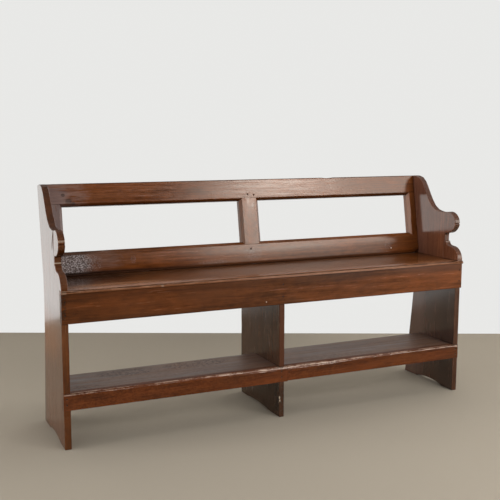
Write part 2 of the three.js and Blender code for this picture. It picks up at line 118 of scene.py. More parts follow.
class Shader:
    """A material in the making, with a short method for each kind of node."""

    def __init__(self, name):
        self.material = bpy.data.materials.new(name)
        self.material.use_nodes = True
        self.tree = self.material.node_tree
        self.tree.nodes.clear()

    def node(self, kind, inputs=None, **settings):
        made = self.tree.nodes.new(kind)
        for name, value in settings.items():
            setattr(made, name, value)
        for name, value in (inputs or {}).items():
            socket = made.inputs[name]
            if isinstance(value, bpy.types.NodeSocket):
                self.tree.links.new(value, socket)
            else:
                socket.default_value = value
        return made

    def maths(self, operation, *values):
        return self.node("ShaderNodeMath", dict(enumerate(values)), operation=operation).outputs[0]

    def chain(self, operation, values):
        result = values[0]
        for value in values[1:]:
            result = self.maths(operation, result, value)
        return result

    def add(self, *values):
        return self.chain("ADD", values)

    def times(self, *values):
        return self.chain("MULTIPLY", values)

    def most(self, *values):
        return self.chain("MAXIMUM", values)

    def smooth(self, value, low, high, start=0.0, end=1.0):
        inputs = {"Value": value, "From Min": low, "From Max": high, "To Min": start, "To Max": end}
        made = self.node("ShaderNodeMapRange", inputs, interpolation_type="SMOOTHSTEP")
        return made.outputs[0]

    def mix(self, factor, first, second):
        colours = [(*colour, 1) if isinstance(colour, tuple) and len(colour) == 3 else colour
                   for colour in (first, second)]
        inputs = {MIX_FACTOR: factor, MIX_FIRST: colours[0], MIX_SECOND: colours[1]}
        return self.node("ShaderNodeMix", inputs, data_type="RGBA").outputs[MIX_COLOUR]

    def dim(self, factor, colour, share):
        inputs = {MIX_FACTOR: factor, MIX_FIRST: colour, MIX_SECOND: (share, share, share, 1)}
        made = self.node("ShaderNodeMix", inputs, data_type="RGBA", blend_type="MULTIPLY")
        return made.outputs[MIX_COLOUR]

    def combine(self, x, y, z):
        return self.node("ShaderNodeCombineXYZ", {0: x, 1: y, 2: z}).outputs[0]

    def noise(self, vector, detail=2.0, roughness=0.5):
        inputs = {"Vector": vector, "Scale": 1.0, "Detail": detail, "Roughness": roughness}
        return self.node("ShaderNodeTexNoise", inputs).outputs[0]

    def cell_edges(self, vector):
        inputs = {"Vector": vector, "Scale": 1.0}
        return self.node("ShaderNodeTexVoronoi", inputs, feature="DISTANCE_TO_EDGE").outputs["Distance"]

    def facing(self, direction):
        normal = self.node("ShaderNodeNewGeometry").outputs["True Normal"]
        inputs = {0: normal, 1: Vector(direction).normalized()}
        return self.node("ShaderNodeVectorMath", inputs, operation="DOT_PRODUCT").outputs["Value"]

    def open_air(self, reach):
        inputs = {"Distance": reach}
        return self.node("ShaderNodeAmbientOcclusion", inputs, samples=DARKENING_SAMPLES).outputs["AO"]

    def finish(self, surface):
        self.node("ShaderNodeOutputMaterial", {"Surface": surface})
        return self.material


# Stage

def plane(name, corners, material):
    mesh = bpy.data.meshes.new(name)
    mesh.from_pydata(corners, [], [list(range(len(corners)))])
    mesh.materials.append(material)
    made = bpy.data.objects.new(name, mesh)
    bpy.context.scene.collection.objects.link(made)


def floor_material():
    s = Shader("floor")
    return s.finish(s.node("ShaderNodeBsdfDiffuse", {"Color": FLOOR_COLOUR}).outputs[0])


def wall_material():
    """Pale to the camera and in reflections, and clear from behind, where it would block the view."""
    s = Shader("wall")
    seen = s.node("ShaderNodeLightPath")
    mirrored = s.most(seen.outputs["Is Glossy Ray"], seen.outputs["Is Transmission Ray"])
    direct = s.most(seen.outputs["Is Camera Ray"], mirrored)
    matt = s.node("ShaderNodeBsdfDiffuse", {"Color": WALL_COLOUR}).outputs[0]
    even = s.node("ShaderNodeEmission", {"Color": s.mix(mirrored, WALL_COLOUR, WALL_MIRRORED)}).outputs[0]
    front = s.node("ShaderNodeMixShader", {0: direct, 1: matt, 2: even}).outputs[0]
    behind = s.node("ShaderNodeNewGeometry").outputs["Backfacing"]
    clear = s.node("ShaderNodeBsdfTransparent").outputs[0]
    return s.finish(s.node("ShaderNodeMixShader", {0: behind, 1: front, 2: clear}).outputs[0])


def stage():
    reach = STAGE_REACH
    floor = [(-reach, -reach, 0), (reach, -reach, 0), (reach, reach, 0), (-reach, reach, 0)]
    plane("floor", floor, floor_material())
    ahead = heading(CAMERA_YAW, 0)
    across = Vector((ahead.y, -ahead.x, 0))
    foot = Vector((CAMERA_PLACE.x, CAMERA_PLACE.y, 0)) + ahead * WALL_AHEAD
    up = Vector((0, 0, WALL_HEIGHT))
    left = foot - across * reach
    right = foot + across * reach
    plane("wall", [left, right, right + up, left + up], wall_material())


def world():
    made = bpy.data.worlds.new("world")
    bpy.context.scene.world = made
    made.use_nodes = True
    tree = made.node_tree
    tree.nodes.clear()
    way = tree.nodes.new("ShaderNodeTexCoord")
    parts = tree.nodes.new("ShaderNodeSeparateXYZ")
    rise = tree.nodes.new("ShaderNodeMapRange")
    rise.interpolation_type = "SMOOTHSTEP"
    tone = tree.nodes.new("ShaderNodeMix")
    tone.data_type = "RGBA"
    tone.inputs[MIX_FIRST].default_value = SKY_LOW
    tone.inputs[MIX_SECOND].default_value = SKY_HIGH
    sky = tree.nodes.new("ShaderNodeBackground")
    out = tree.nodes.new("ShaderNodeOutputWorld")
    tree.links.new(way.outputs["Generated"], parts.inputs[0])
    tree.links.new(parts.outputs["Z"], rise.inputs["Value"])
    tree.links.new(rise.outputs[0], tone.inputs[MIX_FACTOR])
    tree.links.new(tone.outputs[MIX_COLOUR], sky.inputs["Color"])
    tree.links.new(sky.outputs[0], out.inputs["Surface"])


def softbox(name, place, target, size, power, mirrored):
    data = bpy.data.lights.new(name, "AREA")
    data.shape = "RECTANGLE"
    data.size, data.size_y = size
    data.energy = power
    lamp = bpy.data.objects.new(name, data)
    bpy.context.scene.collection.objects.link(lamp)
    lamp.location = place
    lamp.rotation_mode = "QUATERNION"
    lamp.rotation_quaternion = (Vector(target) - Vector(place)).to_track_quat("-Z", "Y")
    lamp.visible_camera = False
    lamp.visible_glossy = mirrored


def lights():
    for lamp in LAMPS:
        softbox(*lamp)


# Wood

# The axes along, across and through a board, for each way that its grain can run
GRAIN_AXES = {"x": "xzy", "z": "zyx", "up": "zxy", "flat": "xyz"}

# Which stretch of the noises each board shows, and how far apart the stretches lie along and across
SEEDS = {
    "end_left_front_plank": 0, "end_left_rear_plank": 1, "end_right_front_plank": 2,
    "end_right_rear_plank": 3, "centre_support": 7, "back_top_rail": 10, "back_bottom_rail": 11,
    "back_stile_left": 14, "back_muntin": 15, "back_stile_right": 16, "seat_board": 20,
    "front_apron": 21, "foot_rail_left": 24, "foot_rail_right": 25, "foot_shelf_left": 28,
    "foot_shelf_right": 29, "hidden_wood": 33, "peg_wood": 35,
}
SEED_ALONG = 3.7
SEED_ACROSS = 1.9

# A noise's middle and usual range. Something starts at a range's first value and is full at its last.
NOISE_MIDDLE = 0.5
NOISE_RANGE = (0.3, 0.7)

# Noises: rate per metre along the grain, rate across it, shift, detail and roughness
STREAK = (3.2, 75.0, 11, 3.0, 0.6)
FINE = (20.0, 260.0, 13, 2.0, 0.6)
MOTTLE = (34.0, 62.0, 19, 3.0, 0.6)
FIBRE = (16.0, 800.0, 17, 2.0, 0.6)
BROAD = (1.8, 9.0, 23)

# Tone of the grain, from late wood at 0 to early wood at 1, and how far each noise moves it
TONE_MIDDLE = 0.55
STREAK_TONE = 0.15
FINE_TONE = 0.12
MOTTLE_TONE = 0.10
BROAD_TONE = 0.18
FIBRE_TONE = 0.09
LATE_TONE = -0.16

# Dark marks are late wood dimmed to this share
BLACKENED = 0.25

# Growth rings: how far apart, their outline, how they wander, and how they bend round a knot
RING_PITCH = 0.0055
RING_RISE = (0.3, 0.9)
RING_FALL = (1.0, 0.93)
SWAY = (2.0, 4.0)
SWAY_REACH = 0.05
SWAY_DEPTH = 0.5
WAVER = (9.0, 22.0, 5)
WAVER_REACH = 0.006
KNOT_BEND = 1.8
KNOT_BEND_ALONG = 0.12
KNOT_BEND_ACROSS = 0.5
KNOT_WIDTH = 0.8
KNOT_MOST = 0.85

# Aged varnish, thin dark lines and small pits
AGED = (4.0, 13.0, 31)
AGED_RANGE = (0.42, 0.75)
AGED_MOST = 0.55
LINES = (7.0, 420.0, 41, 1.0)
LINES_RANGE = (0.68, 0.8)
LINES_MOST = 0.6
PITS = (210.0, 330.0, 43, 0.0)
PITS_RANGE = (0.76, 0.84)
PITS_MOST = 0.55

# Spots, patches and grooves. A spot's range is in squares of its half sizes.
SPOT_RANGE = (1.6, 0.4)
SPOT_FRAY = (70.0, 110.0, 79, 3.0)
PATCH_FRAY = (5.0, 90.0, 83, 3.0, 0.6)
PATCH_FRAYED = 3.5
GROOVE_CORE = 0.4
CHIP_COLOUR = (0.5, 0.4, 0.3)

# Painted shade on the narrow sides of an end board: how far a face is turned from its broad ones, and how
# high up
SIDE_TURN = (0.8, 0.5)
SIDE_HEIGHTS = (0.40, 0.50)

# Stains where the varnish has gone, and grey bloom on it
STAIN = (120.0, 170.0, 47, 2.0)
STAIN_RANGE = (0.42, 0.6)
STAIN_FRAYED = 1.5
STAIN_MOST = 0.8
BLOOM_SHARE = 0.5
BLOOM_RANGE = (0.35, 0.6)
BLOOM_FRAYED = 1.5
BLOOM_MOST = 0.45
BLOOM_COLOUR = (0.16, 0.11, 0.095)

# Crackled varnish: darkest and palest flakes, cells per metre along and across, and how they bend
FLAKES = ((0.080, 0.062, 0.058), (0.44, 0.385, 0.385))
FLAKE_LEVEL = (240.0, 300.0, 67)
FLAKE_RANGE = (0.44, 0.57)
CRACK = (0.015, 0.010, 0.009)
CRACK_RANGE = (0.02, 0.18)
CELLS_ALONG = 250.0
CELLS_ACROSS = 320.0
CELL_BEND = (300.0, 300.0, 61)
CELL_BENT = 0.004
CRACKLE_FRAYED = 1.4
CRACKLE_TURN = (0.5, 0.9)
CRACKLE_MOST = 0.85
CRACKLE_HEIGHT = 1.5

# Varnish worn through on edges, with a painted highlight along them
RUB_COARSE = (22.0, 60.0, 71, 3.0, 0.65)
RUB_COARSE_SHARE = 0.75
RUB_SMALL = (170.0, 170.0, 73)
RUB_SMALL_SHARE = 0.25
RUB_RISE = 0.14
RUB_TURN = (0.80, 0.93)

# Painted shade on undersides, and painted shade with grime in corners and in creases, which is full at the
# first value of each air's range
UNDER_SHADE_TURN = (0.2, 0.8)
UNDER_SHADE_MOST = 0.6
CORNER_REACH = 0.010
CORNER_AIR = (0.1, 0.8)
CORNER_MOST = 0.22
CREASE_REACH = 0.0035
CREASE_AIR = (0.2, 0.85)
CREASE_MOST = 0.75
DARKENING_SAMPLES = 8

# Varnish
LATE_HEIGHT = 0.06
FIBRE_HEIGHT = 0.35
WAVE = (12.0, 30.0, 53)
WAVE_HEIGHT = 0.5
BUMP_STRENGTH = 0.3
BUMP_DEPTH = 0.0005
FINE_RANGE = (0.35, 0.65)
FINE_ROUGH = 0.03
BARE_ROUGH = 0.25
VARNISH_IOR = 1.5
VARNISH_TINT = (1.0, 0.88, 0.77, 1)
COAT_ROUGHNESS = 0.12
COAT_IOR = 1.6

# Nails
IRON_DARK = (0.012, 0.008, 0.006)
IRON_LIGHT = (0.035, 0.018, 0.011)
IRON_RATE = 900.0
IRON_ROUGHNESS = 0.85
IRON_SHINE = 0.1


class Timber(Shader):
    """A wood shader that knows which way its grain runs: along, across and through the board."""

    def __init__(self, name, grain, pith, knots):
        super().__init__(name)
        place = self.node("ShaderNodeTexCoord").outputs["Object"]
        parts = self.node("ShaderNodeSeparateXYZ", {0: place}).outputs
        self.along, self.across, self.through = (parts["xyz".index(letter)] for letter in GRAIN_AXES[grain])
        self.seed = SEEDS[name]
        self.late = growth(self, pith, knots)
        self.streak = self.streaks(*STREAK)
        self.fine = self.streaks(*FINE)
        self.mottle = self.streaks(*MOTTLE)
        self.fibre = self.streaks(*FIBRE)
        self.broad = self.streaks(*BROAD)

    def stretched(self, along_rate, across_rate, shift):
        return self.combine(
            self.add(self.times(self.along, along_rate), self.seed * SEED_ALONG + shift),
            self.add(self.times(self.across, across_rate), self.seed * SEED_ACROSS),
            self.times(self.through, across_rate),
        )

    def streaks(self, along_rate, across_rate, shift=0.0, detail=2.0, roughness=0.5):
        return self.noise(self.stretched(along_rate, across_rate, shift), detail, roughness)

    def swing(self, seen, reach):
        """A noise that swings about 0."""
        return self.times(self.add(self.streaks(*seen), -NOISE_MIDDLE), reach)

    def lean(self, value, reach):
        """A noise's value, spread out to between -reach and reach."""
        return self.smooth(value, *NOISE_RANGE, -reach, reach)

    def spot(self, along, across, half_length, half_width, strength=1.0, through=None, ragged=0.0):
        """strength inside an oval on the face, and 0 some way outside it."""
        run = self.times(self.add(self.along, -along), 1 / half_length)
        rise = self.times(self.add(self.across, -across), 1 / half_width)
        away = self.add(self.times(run, run), self.times(rise, rise), ragged)
        if through is not None:
            depth = self.times(self.add(self.through, -through), 1 / half_width)
            away = self.add(away, self.times(depth, depth))
        return self.smooth(away, *SPOT_RANGE, 0.0, strength)

    def spots(self, places, frayed=0.0):
        ragged = self.swing(SPOT_FRAY, frayed) if frayed else 0.0
        return self.most(0.0, *[self.spot(*place, ragged=ragged) for place in places])


def growth(s, pith, knots):
    """Late wood in rings round a pith beside the board, which bend round its knots."""
    sway = s.swing(SWAY, SWAY_REACH)
    ripple = s.add(sway, s.swing(WAVER, WAVER_REACH))
    for along, across, size in knots:
        run = s.times(s.add(s.along, -along), 1 / size)
        rise = s.times(s.add(s.across, -across), 1 / size)
        near = s.add(s.times(run, run, KNOT_BEND_ALONG), s.times(rise, rise, KNOT_BEND_ACROSS))
        ripple = s.add(ripple, s.times(s.maths("EXPONENT", s.times(near, -1.0)), size * KNOT_BEND))
    flat = s.add(s.across, ripple, -pith[0])
    deepness = s.add(s.through, s.times(sway, SWAY_DEPTH), -pith[1])
    radius = s.maths("SQRT", s.add(s.times(flat, flat), s.times(deepness, deepness)))
    ring = s.maths("FRACT", s.times(radius, 1 / RING_PITCH))
    return s.times(s.smooth(ring, *RING_RISE), s.smooth(ring, *RING_FALL))


def grain_colour(s, deep, warm, dull):
    """Early and late wood in streaks of several sizes, with aged varnish over some of it."""
    tone = s.add(
        TONE_MIDDLE,
        s.lean(s.streak, STREAK_TONE),
        s.lean(s.fine, FINE_TONE),
        s.lean(s.mottle, MOTTLE_TONE),
        s.lean(s.broad, BROAD_TONE),
        s.times(s.late, LATE_TONE),
        s.lean(s.fibre, FIBRE_TONE),
    )
    body = s.mix(s.most(tone, 0.0), deep, warm)
    return s.mix(s.smooth(s.streaks(*AGED), *AGED_RANGE, 0.0, AGED_MOST), body, dull)


def lined(s, body, black):
    """Thin dark lines along the grain, and small pits."""
    lines = s.smooth(s.streaks(*LINES), *LINES_RANGE, 0.0, LINES_MOST)
    pits = s.smooth(s.streaks(*PITS), *PITS_RANGE, 0.0, PITS_MOST)
    return s.mix(s.most(lines, pits), body, black)


def patched(s, body, patches):
    """Soft patches of another colour, frayed along the grain; some of them are painted light and shade."""
    ragged = s.swing(PATCH_FRAY, PATCH_FRAYED) if patches else 0.0
    for place, look in patches:
        body = s.mix(s.spot(*place, ragged=ragged), body, look)
    return body


def knotted(s, body, black, knots):
    if not knots:
        return body
    places = [(along, across, size, size * KNOT_WIDTH) for along, across, size in knots]
    return s.mix(s.times(s.spots(places), KNOT_MOST), body, black)


def banded(s, body, bands):
    """Broad bands that dim the wood, or turn it to another colour; many of them are painted light and shade.
    """
    for way, full, gone, look, strength in bands:
        shown = s.smooth(getattr(s, way), gone, full, 0.0, strength)
        body = s.mix(shown, body, look) if isinstance(look, tuple) else s.dim(shown, body, look)
    return body


def shade_sides(s, body, share):
    """Painted shade: the narrow sides of an end board are darker above the seat than its broad faces."""
    if share >= 1.0:
        return body
    broad_face = s.maths("ABSOLUTE", s.facing((1, 0, 0)))
    upper = s.smooth(s.along, *SIDE_HEIGHTS)
    return s.dim(s.times(s.smooth(broad_face, *SIDE_TURN), upper), body, share)


# Painted shade: dark lines in grooves along the grain
def shaded_grooves(s, body, black, grooves):
    for across, half, strength in grooves:
        away = s.maths("ABSOLUTE", s.add(s.across, -across))
        body = s.mix(s.smooth(away, half, half * GROOVE_CORE, 0.0, strength), body, black)
    return body


def bare_wood(s, stains):
    """How far the varnish has gone inside the stains."""
    worn = s.smooth(s.streaks(*STAIN), *STAIN_RANGE)
    return s.times(s.spots(stains, STAIN_FRAYED), worn, STAIN_MOST)


def bloomed(s, body, bloom):
    """Damp has left a grey mist in the varnish."""
    if not bloom:
        return body
    where = s.spots(bloom, BLOOM_FRAYED)
    streaky = s.add(s.times(s.streak, BLOOM_SHARE), s.times(s.fine, BLOOM_SHARE))
    misted = s.times(where, s.smooth(streaky, *BLOOM_RANGE))
    return s.mix(s.times(misted, BLOOM_MOST), body, BLOOM_COLOUR)


def crazed(s, places, body, height):
    """Old varnish that has broken into pale flakes with dark cracks between them."""
    bent = s.add(s.along, s.times(s.streaks(*CELL_BEND), CELL_BENT))
    vector = s.combine(
        s.times(bent, CELLS_ALONG), s.times(s.across, CELLS_ACROSS), s.times(s.through, CELLS_ACROSS),
    )
    flake = s.smooth(s.cell_edges(vector), *CRACK_RANGE)
    level = s.smooth(s.streaks(*FLAKE_LEVEL), *FLAKE_RANGE)
    where = s.times(s.spots(places, CRACKLE_FRAYED), s.smooth(s.facing((0, -1, 0)), *CRACKLE_TURN))
    shown = s.times(where, CRACKLE_MOST)
    body = s.mix(shown, body, s.mix(flake, CRACK, s.mix(level, *FLAKES)))
    return body, s.add(height, s.times(where, flake, CRACKLE_HEIGHT))


def edge_wear_and_highlight(s, rim, body):
    """Varnish worn through along the edges that face one way, with a painted highlight there, and thin on
    the rest of them.
    """
    direction, colour, least, strength, thin = rim
    coarse = s.times(s.streaks(*RUB_COARSE), RUB_COARSE_SHARE)
    small = s.times(s.streaks(*RUB_SMALL), RUB_SMALL_SHARE)
    patchy = s.smooth(s.add(coarse, small), least, least + RUB_RISE, thin, strength)
    return s.mix(s.times(s.smooth(s.facing(direction), *RUB_TURN), patchy), body, colour)


def shade_and_grime(s, body, black):
    """Painted shade on faces that look down, and painted shade with grime in corners and in creases."""
    body = s.mix(s.smooth(s.facing((0, 0, -1)), *UNDER_SHADE_TURN, 0.0, UNDER_SHADE_MOST), body, black)
    corners = s.open_air(CORNER_REACH)
    creases = s.open_air(CREASE_REACH)
    darkening = s.most(
        s.smooth(corners, *CORNER_AIR, CORNER_MOST, 0.0),
        s.smooth(creases, *CREASE_AIR, CREASE_MOST, 0.0),
    )
    return s.mix(darkening, body, black)


def roughness(s, gloss, bare, dusty):
    """Uneven gloss, dull where the varnish has gone and where dust settles."""
    rough = s.add(
        s.smooth(s.streak, *NOISE_RANGE, *gloss),
        s.smooth(s.fine, *FINE_RANGE, -FINE_ROUGH, FINE_ROUGH),
        s.times(bare, BARE_ROUGH),
    )
    if dusty:
        amount, least, full = dusty
        rough = s.add(rough, s.smooth(s.facing((0, 0, 1)), least, full, 0.0, amount))
    return rough


def coat_weight(s, coat):
    """Only the broad faces of an end board are polished, and less so low down."""
    low, high, least = coat
    return s.times(s.maths("ABSOLUTE", s.facing((1, 0, 0))), s.smooth(s.along, low, high, least, 1.0))


def varnished(s, body, rough, height, shine, coat):
    relief = {"Height": height, "Strength": BUMP_STRENGTH, "Distance": BUMP_DEPTH}
    bump = s.node("ShaderNodeBump", relief).outputs[0]
    varnish = s.node("ShaderNodeBsdfPrincipled", {
        "Base Color": body,
        "Roughness": rough,
        "Normal": bump,
        "IOR": VARNISH_IOR,
        "Specular IOR Level": shine,
        "Specular Tint": VARNISH_TINT,
        "Coat Weight": coat_weight(s, coat) if coat else 0.0,
        "Coat Roughness": COAT_ROUGHNESS,
        "Coat IOR": COAT_IOR,
    }).outputs[0]
    return s.finish(varnish)


def wood(name, grain, deep, warm, dull, pith=(0.0, 0.09), gloss=(0.15, 0.26), shine=0.5, coat=None,
         knots=(), crackle=(), dusty=None, sides=1.0, bloom=(), stains=(), dots=(), bands=(),
         patches=(), grooves=(), shade_and_soil=(), rim=None):
    """Varnished pine with growth rings, streaks, knots, crackled and bloomed varnish, grime, wear and
    painted light.

    deep, warm and dull are the colours of late wood, early wood and aged varnish. pith is where the
    rings are centred, across and through. gloss is the least and the greatest roughness, and dusty
    adds to it on faces that look up: (amount, least turn, full turn). coat is a second varnish on
    the broad faces: (height where it is least, height where it is full, least). shine is the
    varnish's specular level, and sides is the share that an end board's narrow sides dim to, as painted
    shade.

    A spot is (along, across, half length, half width, strength, through), and the last two may be
    left out. crackle, bloom, dark stains and pale dots are lists of spots. patches and soil are lists
    of (spot, colour), and soil lies over the crackle; some patches are painted light and shade, and
    soil holds painted shade along with one dark line. knots are (along, across, size). bands are (way,
    where full, where gone, a colour or a share to dim to, strength), and several of them are painted
    light and shade. grooves are dark lines along the grain, painted shade, (across, half width,
    strength). rim is (the way that worn edges face, colour, least value of the noise that shows,
    strength where it shows, strength elsewhere), and paints a highlight on the worn edges as well.
    """
    s = Timber(name, grain, pith, knots)
    black = tuple(part * BLACKENED for part in deep)
    body = grain_colour(s, deep, warm, dull)
    body = lined(s, body, black)
    body = patched(s, body, patches)
    body = knotted(s, body, black, knots)
    body = banded(s, body, bands)
    body = shade_sides(s, body, sides)
    body = shaded_grooves(s, body, black, grooves)
    bare = bare_wood(s, stains) if stains else 0.0
    if stains:
        body = s.mix(bare, body, black)
    height = s.add(
        s.times(s.late, LATE_HEIGHT), s.times(s.fibre, FIBRE_HEIGHT), s.times(s.streaks(*WAVE), WAVE_HEIGHT),
    )
    body = bloomed(s, body, bloom)
    if crackle:
        body, height = crazed(s, crackle, body, height)
    # Dark lines over the crackle, most of them painted shade
    for place, look in shade_and_soil:
        body = s.mix(s.spot(*place), body, look)
    if rim:
        body = edge_wear_and_highlight(s, rim, body)
    if dots:
        body = s.mix(s.spots(dots), body, CHIP_COLOUR)
    # Painted shade under faces that look down, and painted shade with grime in corners and creases
    body = shade_and_grime(s, body, black)
    return varnished(s, body, roughness(s, gloss, bare, dusty), height, shine, coat)


def iron():
    s = Shader("nail_iron")
    place = s.node("ShaderNodeTexCoord").outputs["Object"]
    inputs = {0: place, "Scale": IRON_RATE}
    scaled = s.node("ShaderNodeVectorMath", inputs, operation="SCALE").outputs[0]
    metal = s.node("ShaderNodeBsdfPrincipled", {
        "Base Color": s.mix(s.noise(scaled), IRON_DARK, IRON_LIGHT),
        "Roughness": IRON_ROUGHNESS,
        "Specular IOR Level": IRON_SHINE,
    })
    return s.finish(metal.outputs[0])


# Boards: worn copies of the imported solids

STATION_PITCH = 0.03
STATION_CLEAR = 0.003
EDGE_SIZE = 0.0016
EDGE_STEPS = 3
EDGE_PROFILE = 0.5
SHARP_ANGLE = math.radians(35)
SOFT_ANGLE = math.radians(40)
FLAT_ANGLE = math.radians(0.5)
WELD = 2e-6
CUT_SLACK = 1e-7

# Uneven wear of the edges: its depth, two noises as rate per metre and share, and a bias towards wear
WEAR_DEPTH = 0.0007
WEAR_COARSE = (45, 0.6)
WEAR_FINE = (160, 0.4)
WEAR_BIAS = 0.25


def cut_across(bm, axis, places):
    normal = Vector([1.0 if letter == axis else 0.0 for letter in "xyz"])
    for at in places:
        geometry = bm.verts[:] + bm.edges[:] + bm.faces[:]
        bmesh.ops.bisect_plane(bm, geom=geometry, dist=CUT_SLACK, plane_co=normal * at, plane_no=normal)


def stations(bm, axis, pitch):
    """Even places along one axis between the ends of the mesh, clear of its own points."""
    places = [v.co["xyz".index(axis)] for v in bm.verts]
    low = min(places)
    high = max(places)
    steps = max(1, round((high - low) / pitch))
    even = [low + (high - low) * i / steps for i in range(1, steps)]
    return [at for at in even if min(abs(at - place) for place in places) > STATION_CLEAR]


def round_edges(bm, kept, edge):
    """Rounded edges that are worn a little unevenly."""
    sharp = [e for e in bm.edges if len(e.link_faces) == 2 and e.calc_face_angle(0) > SHARP_ANGLE]
    if kept:
        sharp = [e for e in sharp if not kept(e)]
    made = bmesh.ops.bevel(
        bm, geom=sharp, offset=edge, segments=EDGE_STEPS, profile=EDGE_PROFILE, affect="EDGES",
        clamp_overlap=True,
    )
    bm.normal_update()
    coarse_rate, coarse_share = WEAR_COARSE
    fine_rate, fine_share = WEAR_FINE
    for vert in made["verts"]:
        if vert.is_valid:
            coarse = noise.noise(vert.co * coarse_rate) * coarse_share
            rub = coarse + noise.noise(vert.co * fine_rate) * fine_share
            vert.co -= vert.normal * WEAR_DEPTH * max(0.0, rub + WEAR_BIAS)


def board(node, material, axes, pitch=STATION_PITCH, edge=EDGE_SIZE, cuts=(), shaped=None, kept=None):
    """A copy of a CAD board with rounded, worn edges.

    axes are the ones that it is cut across at even stations. cuts are (axis, places), shaped moves
    a point of the mesh before its edges are rounded, and kept says which edges stay as they are.
    """
    bm = bmesh.new()
    bm.from_mesh(nodes[node].data)
    bmesh.ops.remove_doubles(bm, verts=bm.verts, dist=WELD)
    bmesh.ops.dissolve_limit(bm, angle_limit=FLAT_ANGLE, verts=bm.verts, edges=bm.edges)
    for axis in axes:
        cut_across(bm, axis, stations(bm, axis, pitch))
    for axis, places in cuts:
        cut_across(bm, axis, places)
    if shaped:
        for vert in bm.verts:
            vert.co = shaped(vert.co.copy())
    bm.normal_update()
    round_edges(bm, kept, edge)
    mesh = bpy.data.meshes.new(node + "_worn")
    bm.to_mesh(mesh)
    bm.free()
    mesh.shade_smooth()
    mesh.set_sharp_from_angle(angle=SOFT_ANGLE)
    mesh.materials.append(material)
    piece = bpy.data.objects.new(node + "_worn", mesh)
    bpy.context.scene.collection.objects.link(piece)
    piece.modifiers.new("even_shading", "WEIGHTED_NORMAL").keep_sharp = True
    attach(piece, "root")
    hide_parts(node)


def spread(low, high, step):
    """Even places from low to high, about a step apart."""
    count = max(1, round((high - low) / step))
    return [low + (high - low) * i / count for i in range(count + 1)]


def ramp(value, low, high):
    """Rises smoothly from 0 at low to 1 at high."""
    share = min(1.0, max(0.0, (value - low) / (high - low)))
    return share * share * (3 - 2 * share)


# Where the boards meet, from the frame's own boxes
SEAT_LOW, SEAT_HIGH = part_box("seat_board")
RAIL_LOW, RAIL_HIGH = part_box("foot_rail_left")
TOP_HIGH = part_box("back_top_rail")[1]
LOW_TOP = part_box("back_bottom_rail")[1].z
PLANK_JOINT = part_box("end_left_front_plank")[1].y
END_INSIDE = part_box("end_right_front_plank")[0].x
SEAT_TOP = SEAT_HIGH.z
SEAT_FRONT = SEAT_LOW.y

# A point no further than this from a plane counts as on it
HAIR = 0.0001

# The seat's bead and quirk, and its worn nose behind them
BEAD_WIDTH = 0.012
BEAD_DROP = 0.0037
BEAD_RADIUS = 0.0054
BEAD_FULLNESS = 0.8
BEAD_MIDDLE = SEAT_TOP - BEAD_DROP - BEAD_RADIUS
BEAD_UPPER = 0.92
BEAD_STEP = 0.001
BEAD_SHADE = 0.0030
QUIRK = SEAT_FRONT + BEAD_WIDTH
QUIRK_WIDTH = 0.002
QUIRK_DEPTH = 0.0010
QUIRK_SLOPE = 0.0018
# The quirk's line of painted shade: how far ahead of the quirk it lies, and its half width
QUIRK_LINE_AHEAD = 0.0004
QUIRK_LINE_HALF = 0.0030
NOSE_DROP = 0.0012
NOSE_REACH = 0.03
NOSE_LEAST = 0.8
NOSE_SWING = 0.5
NOSE_RATE = 5
NOSE_ROW = (0.3, 0.7)

# Where the nose is cut across behind the quirk: first place, last place and step
NOSE_CUTS = (0.006, 0.07, 0.008)

# How far inside the end boards the seat's shaping fades, and how near a face a point counts as on it
SEAT_FADE = 0.03
SEAT_FADED = 0.001
TOP_SLACK = 0.0025
FRONT_SLACK = 0.0005

# How far round the quirk, the bead and the seat's rear the edges stay as they are cut
QUIRK_KEPT = 0.006
QUIRK_KEPT_DEPTH = 0.008
BEAD_KEPT = 0.007
REAR_KEPT = 0.005

# The foot rail's worn edge: its radius, more where feet rest, and chips from a coarse and a fine noise
RAIL_ROUND = 0.010
RAIL_WORN = 0.006
RAIL_STEP = 0.0015
CHIP_COARSE_RATE = 55
CHIP_COARSE_ROW = 3.1
CHIP_FINE_RATE = 170
CHIP_FINE_ROW = 7.7
CHIP_FINE_SHARE = 0.5
CHIP_LEAST = 0.1
CHIP_BASE = 0.8
CHIP_SWING = 0.45
TREAD_MIDDLE = 0.05
TREAD_HALF = 0.28
TREAD_FADE = 0.2
TREAD_GUARD = (0.008, 0.02)

# A dent in the top rail, the edges that rest on the seat, and the left end's sprung joint
DENT_PLACE = 0.304
DENT_HALF = 0.022
DENT_FADE = 0.018
DENT_DEPTH = 0.0022
DENT_BELOW = 0.012
SEAT_CONTACT = 0.012
SPRUNG_RISE = (0.548, 0.572)
SPRUNG_FALL = (0.598, 0.622)
SPRUNG_REACH = 0.05
SPRUNG_BY = 0.0022
JOINT_SLACK = 0.001

# How far apart boards are cut across, and the edges of the finer ones
LEFT_END_PITCH = 0.02
TOP_PITCH = 0.012
SEAT_PITCH = 0.02
FOOT_RAIL_PITCH = 0.005
SEAT_EDGE = 0.0012
FOOT_RAIL_EDGE = 0.001


